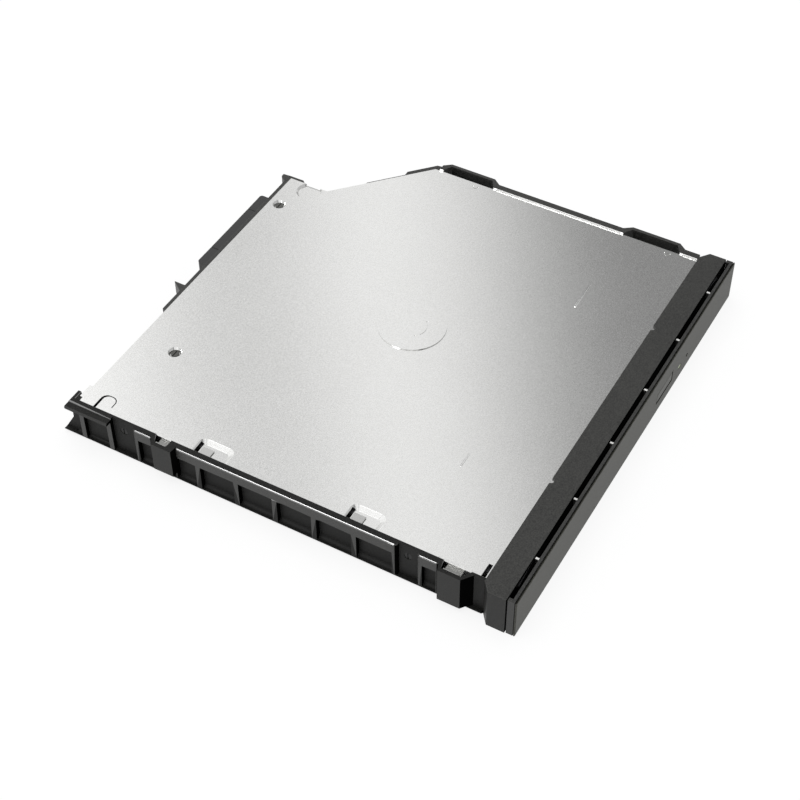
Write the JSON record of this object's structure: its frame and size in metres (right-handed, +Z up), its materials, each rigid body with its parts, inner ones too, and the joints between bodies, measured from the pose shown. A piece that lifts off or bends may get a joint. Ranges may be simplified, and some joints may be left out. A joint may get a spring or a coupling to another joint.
{
  "type": "laptop disc drive",
  "caption": "Slim tray-loading disc drive for a laptop in a dark bay carrier; the tray slides out on telescoping rails with spindle, moving pickup and eject button.",
  "frame": {"origin": "centre of the bounding box in plan, on the plane the part lies on", "axes": "+X to the right seen from the bezel, +Y from the bezel to the bay connector, +Z up through the smooth cover"},
  "size_m": [0.1356, 0.1334, 0.0127],
  "materials": {
    "carrier_plastic": "fine matt grain",
    "bezel_plastic": "fine matt grain",
    "face_plastic": "satin paint",
    "button_plastic": "satin",
    "cover_steel": "satin plated sheet",
    "case_steel": "satin plated sheet",
    "slide_steel": "plain bright sheet",
    "screw_steel": "nickel plated",
    "tray_plastic": "fine matt grain",
    "guide_plastic": "smooth acetal",
    "deck_steel": "plated sheet",
    "window_steel": "black coated sheet",
    "board": "lacquered circuit board",
    "chips": "moulded packages",
    "film": "thin insulating film",
    "connector_plastic": "smooth moulding",
    "contacts": "gold plated",
    "flex": "laminated flat cable",
    "light_pipe": "clear moulding",
    "rubber": "soft matt",
    "cast": "die cast",
    "rod_steel": "ground bright",
    "lens": "polished, coated",
    "holder_plastic": "smooth moulding",
    "spindle_plastic": "smooth moulding",
    "rotor": "plated",
    "copper": "enamelled windings on a core"
  },
  "bodies": {
    "housing": {"carrier_front_bar": "carrier_plastic", "carrier_left_rail": "carrier_plastic", "carrier_right_rail": "carrier_plastic", "rear_bracket": "carrier_plastic", "adapter_board": "board", "bay_connector": "connector_plastic", "bay_contacts": "contacts", "carrier_screws": "screw_steel", "bottom_case": "case_steel", "top_cover": "cover_steel", "cover_screws": "screw_steel", "main_board": "board", "board_film": "film", "board_chips": "chips", "drive_connector": "connector_plastic", "board_flex_socket": "connector_plastic", "tray_flex": "flex", "left_slide_guide": "guide_plastic", "right_slide_guide": "guide_plastic", "latch_post": "screw_steel"},
    "tray": {"tray": "tray_plastic", "tray_underside": "deck_steel", "underside_screws": "screw_steel", "bezel_frame": "bezel_plastic", "bezel_face": "face_plastic", "status_light": "light_pipe", "button_board": "board", "eject_switch": "connector_plastic", "tray_board": "board", "tray_flex_socket": "connector_plastic", "traverse_deck": "deck_steel", "traverse_window": "window_steel", "deck_dampers": "rubber", "deck_screws": "screw_steel", "spindle_stator": "copper", "guide_rods": "rod_steel", "rod_clips": "guide_plastic", "stepper_motor": "rotor", "screw_bracket": "deck_steel", "latch_solenoid": "copper", "latch_clip": "screw_steel"},
    "button": {"eject_button": "button_plastic"},
    "spindle": {"turntable": "spindle_plastic", "turntable_pad": "rubber"},
    "claw_1": {"disc_claw_1": "guide_plastic"},
    "claw_2": {"disc_claw_2": "guide_plastic"},
    "claw_3": {"disc_claw_3": "guide_plastic"},
    "pickup": {"pickup_sled": "cast", "lead_nut": "guide_plastic"},
    "lens": {"lens_holder": "holder_plastic", "objective_lens": "lens"},
    "feed_screw": {"lead_screw": "rod_steel"},
    "left_slide": {"left_slide_rail": "slide_steel"},
    "right_slide": {"right_slide_rail": "slide_steel"},
    "latch": {"latch_lever": "guide_plastic"}
  },
  "joints": [
    {"name": "tray_slide", "type": "slide", "parent": "housing", "child": "tray", "axis": [0, -1, 0], "range_m": [0, 0.124]},
    {"name": "left_slide_run", "type": "slide", "parent": "housing", "child": "left_slide", "axis": [0, -1, 0], "range_m": [0, 0.062]},
    {"name": "right_slide_run", "type": "slide", "parent": "housing", "child": "right_slide", "axis": [0, -1, 0], "range_m": [0, 0.062]},
    {"name": "eject_press", "type": "slide", "parent": "tray", "child": "button", "axis": [0, 1, 0], "range_m": [0, 0.0005], "stiffness_N_per_m": 1500},
    {"name": "spindle_turn", "type": "hinge", "parent": "tray", "child": "spindle", "pos_m": [0.0022, -0.0001, 0.008], "axis": [0, 0, 1], "continuous": true},
    {"name": "pickup_run", "type": "slide", "parent": "tray", "child": "pickup", "axis": [-0.7071, -0.7071, 0], "range_m": [0, 0.034]},
    {"name": "feed_screw_turn", "type": "hinge", "parent": "tray", "child": "feed_screw", "pos_m": [-0.01081, -0.02952, 0.0071], "axis": [-0.7071, -0.7071, 0], "range_deg": [0, 4090]},
    {"name": "lens_focus", "type": "slide", "parent": "pickup", "child": "lens", "axis": [0, 0, 1], "range_m": [-0.00035, 0.00035], "stiffness_N_per_m": 60},
    {"name": "latch_turn", "type": "hinge", "parent": "tray", "child": "latch", "pos_m": [0.055, -0.05, 0.005], "axis": [0, 0, 1], "range_deg": [0, 14]},
    {"name": "claw_1_press", "type": "slide", "parent": "spindle", "child": "claw_1", "axis": [0, -1, 0], "range_m": [0, 0.0005], "stiffness_N_per_m": 400},
    {"name": "claw_2_press", "type": "slide", "parent": "spindle", "child": "claw_2", "axis": [0.866, 0.5, 0], "range_m": [0, 0.0005], "stiffness_N_per_m": 400},
    {"name": "claw_3_press", "type": "slide", "parent": "spindle", "child": "claw_3", "axis": [-0.866, 0.5, 0], "range_m": [0, 0.0005], "stiffness_N_per_m": 400}
  ],
  "couplings": [
    {"joint": "left_slide_run", "follows": "tray_slide", "ratio": 0.5},
    {"joint": "right_slide_run", "follows": "tray_slide", "ratio": 0.5},
    {"joint": "feed_screw_turn", "follows": "pickup_run", "rad_per_m": 2094.4}
  ]
}
